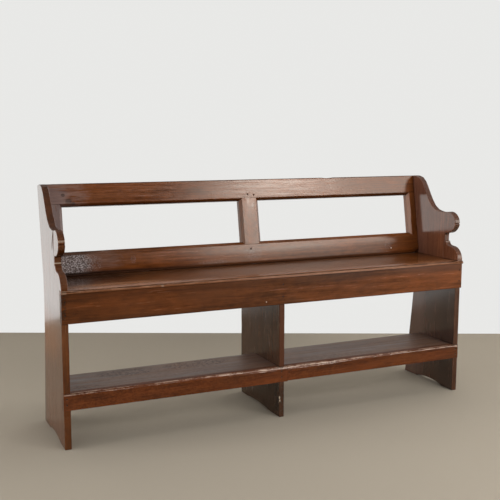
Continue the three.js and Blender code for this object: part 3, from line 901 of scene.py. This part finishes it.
def seat_shape(co):
    """Rounded over a lower half-round bead, but level where the end boards stand on it."""
    back = co.y - SEAT_FRONT - BEAD_WIDTH
    clear = 1 - ramp(abs(co.x), END_INSIDE - SEAT_FADE, END_INSIDE - SEAT_FADED)
    if co.z > SEAT_TOP - TOP_SLACK:
        uneven = NOSE_LEAST + NOSE_SWING * noise.noise(Vector((co.x * NOSE_RATE, *NOSE_ROW)))
        drop = NOSE_DROP * (1 - ramp(back, 0.0, NOSE_REACH)) * uneven
        if back < -QUIRK_WIDTH + HAIR:
            drop = BEAD_DROP
        elif back < -HAIR:
            drop = BEAD_DROP + QUIRK_DEPTH
        elif back < HAIR:
            co.y += QUIRK_SLOPE * clear
        co.z -= drop * clear
    if co.y < SEAT_FRONT + FRONT_SLACK:
        share = min(1.0, abs(co.z - BEAD_MIDDLE) / BEAD_RADIUS)
        co.y += BEAD_RADIUS * (1 - math.sqrt(1 - share * share)) * BEAD_FULLNESS
    return co


def seat_kept(edge):
    """The bead, the quirk and the edges under the back stay as they are cut."""
    middle = (edge.verts[0].co + edge.verts[1].co) / 2
    near_quirk = abs(middle.y - QUIRK) < QUIRK_KEPT and middle.z > SEAT_TOP - QUIRK_KEPT_DEPTH
    return near_quirk or middle.y < SEAT_FRONT + BEAD_KEPT or middle.y > SEAT_HIGH.y - REAR_KEPT


def chipped(x):
    """How far the foot rail's edge is chipped at a place along it."""
    coarse = noise.noise(Vector((x * CHIP_COARSE_RATE, CHIP_COARSE_ROW, 0)))
    fine = noise.noise(Vector((x * CHIP_FINE_RATE, CHIP_FINE_ROW, 0)))
    return max(0.0, coarse + CHIP_FINE_SHARE * fine - CHIP_LEAST)


def rail_shape(co):
    """The front arris of the foot rail, worn round and chipped along its length."""
    tread = ramp(TREAD_HALF - abs(co.x - TREAD_MIDDLE), 0.0, TREAD_FADE) * ramp(abs(co.x), *TREAD_GUARD)
    radius = (RAIL_ROUND + RAIL_WORN * tread) * (CHIP_BASE + CHIP_SWING * chipped(co.x))
    back = co.y - RAIL_LOW.y
    down = RAIL_HIGH.z - co.z
    if min(back, down) > HAIR or max(back, down) > radius:
        return co
    turn = (1 - max(back, down) / radius) * math.pi / 4
    fall = radius * (1 - math.cos(turn))
    lean = radius * (1 - math.sin(turn))
    if down <= back:
        fall, lean = lean, fall
    co.y = RAIL_LOW.y + fall
    co.z = RAIL_HIGH.z - lean
    return co


def top_shape(co):
    """A shallow dent in the upper edge of the top rail."""
    if co.z > TOP_HIGH.z - DENT_BELOW:
        co.z -= DENT_DEPTH * ramp(DENT_HALF - abs(co.x - DENT_PLACE), 0.0, DENT_FADE)
    return co


def sits_low(edge):
    """Edges of the lower back rail that rest on the seat."""
    return max(v.co.z for v in edge.verts) < SEAT_TOP + SEAT_CONTACT


def plank_shape(co):
    """The left front plank has sprung in a little behind the arm's nose, which opens its joint."""
    window = ramp(co.z, *SPRUNG_RISE) * (1 - ramp(co.z, *SPRUNG_FALL))
    near = 1 - ramp(PLANK_JOINT - co.y, 0.0, SPRUNG_REACH)
    co.x += SPRUNG_BY * window * near
    return co


def at_joint(edge):
    """The glued edges of the end planks."""
    return all(abs(v.co.y - PLANK_JOINT) < JOINT_SLACK for v in edge.verts)


# Tones: late wood, early wood, aged varnish
PINE = {"deep": (0.042, 0.011, 0.002), "warm": (0.165, 0.042, 0.006), "dull": (0.085, 0.032, 0.012)}
APRON_TONES = {"deep": (0.033, 0.009, 0.002), "warm": (0.138, 0.037, 0.008), "dull": (0.07, 0.023, 0.008)}
RIGHT_TONES = {"deep": (0.066, 0.023, 0.012), "warm": (0.28, 0.100, 0.048), "dull": (0.15, 0.060, 0.034)}
RAIL_TONES = {"deep": (0.030, 0.007, 0.002), "warm": (0.135, 0.032, 0.007), "dull": (0.07, 0.022, 0.007)}
SEAT_TONES = {"deep": (0.040, 0.012, 0.003), "warm": (0.135, 0.042, 0.010), "dull": (0.07, 0.028, 0.011)}
SUPPORT_TONES = {"deep": (0.032, 0.012, 0.005), "warm": (0.095, 0.038, 0.015), "dull": (0.06, 0.034, 0.022)}
SHELF_TONES = {"deep": (0.040, 0.020, 0.013), "warm": (0.18, 0.088, 0.050), "dull": (0.095, 0.060, 0.050)}
HIDDEN_TONES = {"deep": (0.08, 0.045, 0.025), "warm": (0.2, 0.12, 0.07), "dull": (0.12, 0.08, 0.05)}
PEG_TONES = {"deep": (0.016, 0.008, 0.005), "warm": (0.065, 0.026, 0.013), "dull": (0.04, 0.02, 0.012)}

# Colours of single marks
BARE_WOOD_AND_HIGHLIGHT = (0.38, 0.26, 0.19)
WARM_REFLECTION = (0.25, 0.085, 0.022)
DUSTY_VARNISH = (0.15, 0.075, 0.056)
GREY_STILE = (0.17, 0.14, 0.14)
STILE_CHAMFER_HIGHLIGHT = (0.32, 0.17, 0.12)
GREY_RAIL = (0.16, 0.125, 0.125)
# Painted shade for the foot of the lower back rail, then a dark line for its top
RAIL_FOOT_SHADE = (0.022, 0.010, 0.006)
RAIL_FOOT_SHADE_BROWN = (0.085, 0.034, 0.017)
DARK_DIRT = (0.030, 0.012, 0.006)
# The seat's painted reflection, painted shade, painted sheen and painted highlights
NOSE_REFLECTION = (0.30, 0.135, 0.060)
SEAT_REAR_SHADE = (0.013, 0.005, 0.002)
SEAT_NOSE_SHEEN = (0.20, 0.072, 0.026)
BEAD_HIGHLIGHT = (0.40, 0.25, 0.18)
BEAD_RIM_HIGHLIGHT = (0.30, 0.15, 0.085)
SUPPORT_EDGE = (0.062, 0.019, 0.009)
SUPPORT_FOOT = (0.040, 0.025, 0.016)

# Dust: added roughness, and how far a face looks up where it starts and where it is full
LEVEL_DUST = (0.5, 0.93, 0.98)
ROUND_DUST = (0.5, 0.35, 0.7)

# The look of each board, as wood() takes it
LEFT_END = {
    **PINE,
    "pith": (0.02, 0.5),
    "coat": (0.27, 0.42, 0.2),
    "dusty": ROUND_DUST,
    # Painted shade on the narrow sides, low down and on the arm, and a painted warm reflection low on the
    # end
    "sides": 0.65,
    "bands": [("along", 0.16, 0.32, 0.75, 1.0), ("along", 0.66, 0.52, 0.65, 1.0)],
    "patches": [((0.30, 0.06, 0.07, 0.155, 0.5), WARM_REFLECTION)],
}
LEFT_NOSE_DOTS = [(0.5920, -0.130, 0.003, 0.012, 0.28), (0.524, -0.068, 0.002, 0.007, 0.5)]
RIGHT_END = {
    **RIGHT_TONES,
    "pith": (0.02, 0.5),
    "coat": (0.38, 0.46, 0.6),
    "dusty": ROUND_DUST,
    # Painted shade on the narrow sides and below the seat
    "sides": 0.4,
    "bands": [
        ("along", 0.34, 0.46, 0.33, 1.0),
        ("across", 0.06, 0.0, DUSTY_VARNISH, 0.5),
        ("across", -0.09, -0.03, 0.85, 1.0),
    ],
}
TOP_RAIL = {
    **PINE,
    "pith": (0.6, 0.2),
    "knots": [(-0.613, 0.700, 0.006), (-0.597, 0.681, 0.010), (-0.583, 0.674, 0.006)],
    "bloom": [(-0.63, 0.70, 0.09, 0.05)],
    "dusty": LEVEL_DUST,
    "patches": [((-0.65, 0.69, 0.05, 0.04, 0.5), GREY_RAIL)],
    # Painted shade along the top edge and on the lower chamfer
    "bands": [("across", 0.7335, 0.7300, 0.4, 1.0), ("across", 0.668, 0.672, 0.45, 0.9)],
    "crackle": [(-0.005, 0.683, 0.016, 0.012, 0.15)],
}
BOTTOM_RAIL = {
    **PINE,
    "pith": (0.4, 0.2),
    "crackle": [
        (-0.610, 0.493, 0.070, 0.045),
        (-0.55, 0.493, 0.04, 0.03, 0.2),
        (0.002, 0.493, 0.03, 0.022, 0.16),
        (-0.141, 0.472, 0.045, 0.008, 0.15),
        (-0.408, 0.497, 0.008, 0.012, 0.12),
        (0.532, 0.492, 0.014, 0.018, 0.10),
    ],
    "dots": [(0.545, 0.480, 0.002, 0.002)],
    # Painted shade: dark lines along the rail's foot, copying the seat's shaded rear, which mask where it
    # meets the seat; and a dark line along its top left
    "shade_and_soil": [
        ((-0.56, SEAT_TOP, 0.42, 0.0120, 0.9), RAIL_FOOT_SHADE),
        ((0.10, SEAT_TOP, 0.70, 0.0062, 0.85), RAIL_FOOT_SHADE_BROWN),
        ((-0.64, LOW_TOP, 0.13, 0.0120, 0.75), DARK_DIRT),
    ],
    "bloom": [(-0.53, 0.49, 0.08, 0.05, 0.6)],
}
UPRIGHT = {**PINE, "pith": (0.0, 0.2)}
UPRIGHTS = {
    "back_stile_left": {**UPRIGHT, "patches": [((0.60, -0.64, 0.12, 0.06, 0.6), GREY_STILE)]},
    "back_muntin": UPRIGHT,
    # A painted highlight on the right stile's chamfer
    "back_stile_right": {**UPRIGHT, "patches": [((0.60, 0.634, 0.10, 0.007, 0.6), STILE_CHAMFER_HIGHLIGHT)]},
}
SEAT = {
    **SEAT_TONES,
    "pith": (0, 0.36),
    "gloss": (0.14, 0.22),
    "shine": 0.26,
    # Painted shade in the quirk
    "grooves": [(QUIRK - QUIRK_LINE_AHEAD, QUIRK_LINE_HALF, 0.85)],
    # Painted light: a paler reflection on the nose at the left, painted shade at the left rear, and a
    # painted highlight along the bead
    "patches": [
        ((-0.50, -0.105, 0.16, 0.035, 0.75), NOSE_REFLECTION),
        ((-0.60, 0.02, 0.16, 0.08, 0.78), SEAT_REAR_SHADE),
        ((0.22, -0.1475, 0.40, 0.006, 0.75), BEAD_HIGHLIGHT),
    ],
    # Painted sheen towards the nose, painted shade at the rear and under the bead's middle, darker at the
    # left end and over the bead
    "bands": [
        ("across", -0.125, -0.08, SEAT_NOSE_SHEEN, 0.7),
        ("across", 0.07, -0.01, 0.9, 0.8),
        ("along", -0.66, -0.42, 0.92, 1.0),
        ("across", -0.1425, -0.1405, 0.75, 0.8),
        ("through", BEAD_MIDDLE - BEAD_SHADE, BEAD_MIDDLE, 0.38, 1.0),
    ],
    "dots": [(-0.675, -0.150, 0.006, 0.006, 0.2), (-0.392, -0.150, 0.004, 0.004, 0.2)],
    # A painted highlight along the bead's upper edge
    "rim": ((0, -1, 1.5), BEAD_RIM_HIGHLIGHT, 0.47, 0.5, 0.0),
}
APRON = {
    **APRON_TONES,
    "pith": (0.40, 0.0),
    "shine": 0.3,
    # Painted light brighter towards the right, and painted shade with grime under the seat's nose
    "bands": [("along", 0.55, 0.2, 1.25, 1.0), ("across", 0.434, 0.418, 0.7, 1.0)],
    "stains": [(-0.678, 0.405, 0.008, 0.05)],
    "dots": [(-0.0574, 0.3752, 0.0016, 0.0016)],
}
SUPPORT = {
    **SUPPORT_TONES,
    "shine": 0.35,
    "stains": [(0.06, -0.125, 0.05, 0.02)],
    "bands": [("across", -0.1387, -0.136, SUPPORT_EDGE, 0.85), ("along", 0.11, 0.16, SUPPORT_FOOT, 0.55)],
    "dots": [
        (0.064, -0.138, 0.005, 0.0022, 0.8, -0.007),
        (0.054, -0.1385, 0.004, 0.0018, 0.8, -0.006),
        (0.048, -0.136, 0.003, 0.0015, 0.6, -0.009),
    ],
}
FOOT_RAIL = {
    **RAIL_TONES,
    "pith": (0.12, 0.0),
    "gloss": (0.12, 0.20),
    "shine": 0.4,
    "dusty": LEVEL_DUST,
    # Worn bare wood along the front edge, with a painted highlight on it
    "rim": ((0, -1, 1), BARE_WOOD_AND_HIGHLIGHT, 0.43, 0.7, 0.10),
}
FOOT_RAIL_STAINS = {
    "foot_rail_left": [
        (-0.58, 0.138, 0.14, 0.035, 0.35),
        (-0.30, 0.138, 0.25, 0.035, 0.25),
        (0.0, 0.163, 0.013, 0.012, 0.8),
    ],
    "foot_rail_right": [(0.10, 0.138, 0.12, 0.035, 0.25), (0.027, 0.150, 0.010, 0.02, 0.6)],
}
SHELF = {**SHELF_TONES, "pith": (0, 0.1), "gloss": (0.42, 0.6), "shine": 0.3}
SHELF_STAINS = {
    "foot_shelf_left": [
        (-0.46, 0.0, 0.09, 0.035, 0.5),
        (-0.23, 0.005, 0.11, 0.035, 0.5),
        (-0.35, -0.06, 0.25, 0.04, 0.18),
        (-0.61, -0.10, 0.05, 0.02, 0.35),
    ],
    "foot_shelf_right": [(0.2, -0.09, 0.15, 0.02, 0.3)],
}
HIDDEN = {**HIDDEN_TONES, "gloss": (0.6, 0.8), "shine": 0.3}
PEG = {**PEG_TONES, "gloss": (0.7, 0.8), "shine": 0.2}


def left_end():
    for node in ["end_left_front_plank", "end_left_rear_plank"]:
        front = "front" in node
        material = wood(node, "z", **LEFT_END, dots=LEFT_NOSE_DOTS if front else ())
        board(node, material, "yz", pitch=LEFT_END_PITCH, shaped=plank_shape if front else None,
              kept=at_joint)


def right_end():
    for node in ["end_right_front_plank", "end_right_rear_plank"]:
        board(node, wood(node, "z", **RIGHT_END), "yz", kept=at_joint)


def back():
    top = wood("back_top_rail", "x", **TOP_RAIL)
    board("back_top_rail", top, "x", pitch=TOP_PITCH, shaped=top_shape)
    low = wood("back_bottom_rail", "x", **BOTTOM_RAIL)
    board("back_bottom_rail", low, "x", kept=sits_low)
    for node, look in UPRIGHTS.items():
        board(node, wood(node, "up", **look), "z")


def seat():
    material = wood("seat_board", "flat", **SEAT)
    start, end, step = NOSE_CUTS
    bead = spread(BEAD_MIDDLE - BEAD_RADIUS, BEAD_MIDDLE + BEAD_RADIUS * BEAD_UPPER, BEAD_STEP)
    cuts = [("y", spread(QUIRK + start, QUIRK + end, step)), ("z", bead)]
    board("seat_board", material, "x", pitch=SEAT_PITCH, edge=SEAT_EDGE, cuts=cuts,
          shaped=seat_shape, kept=seat_kept)


def apron():
    board("front_apron", wood("front_apron", "x", **APRON), "x")


def support():
    board("centre_support", wood("centre_support", "z", **SUPPORT), "yz")


def foot_rails():
    steps = spread(RAIL_STEP, RAIL_ROUND + RAIL_WORN, RAIL_STEP)
    cuts = [("y", [RAIL_LOW.y + step for step in steps]), ("z", [RAIL_HIGH.z - step for step in steps])]
    for node, stains in FOOT_RAIL_STAINS.items():
        material = wood(node, "x", **FOOT_RAIL, stains=stains)
        board(node, material, "x", pitch=FOOT_RAIL_PITCH, edge=FOOT_RAIL_EDGE, cuts=cuts,
              shaped=rail_shape)


def foot_shelves():
    for node, stains in SHELF_STAINS.items():
        board(node, wood(node, "flat", **SHELF, stains=stains), "x")


def carried_over():
    """Materials for the small and hidden CAD nodes that are kept as they are."""
    hidden = wood("hidden_wood", "x", **HIDDEN)
    peg = wood("peg_wood", "flat", **PEG)
    nail = iron()
    looks = {
        "back_peg": peg, "apron_nail": nail, "foot_rail_nail": nail, "seat_cleat": hidden,
        "glue_block": hidden,
    }
    for name, node in nodes.items():
        for start, material in looks.items():
            if name.startswith(start):
                for place in node.material_slots:
                    place.material = material


scene = bpy.context.scene
scene.view_settings.view_transform = "Standard"
camera()
stage()
world()
lights()
left_end()
right_end()
back()
seat()
apron()
support()
foot_rails()
foot_shelves()
carried_over()
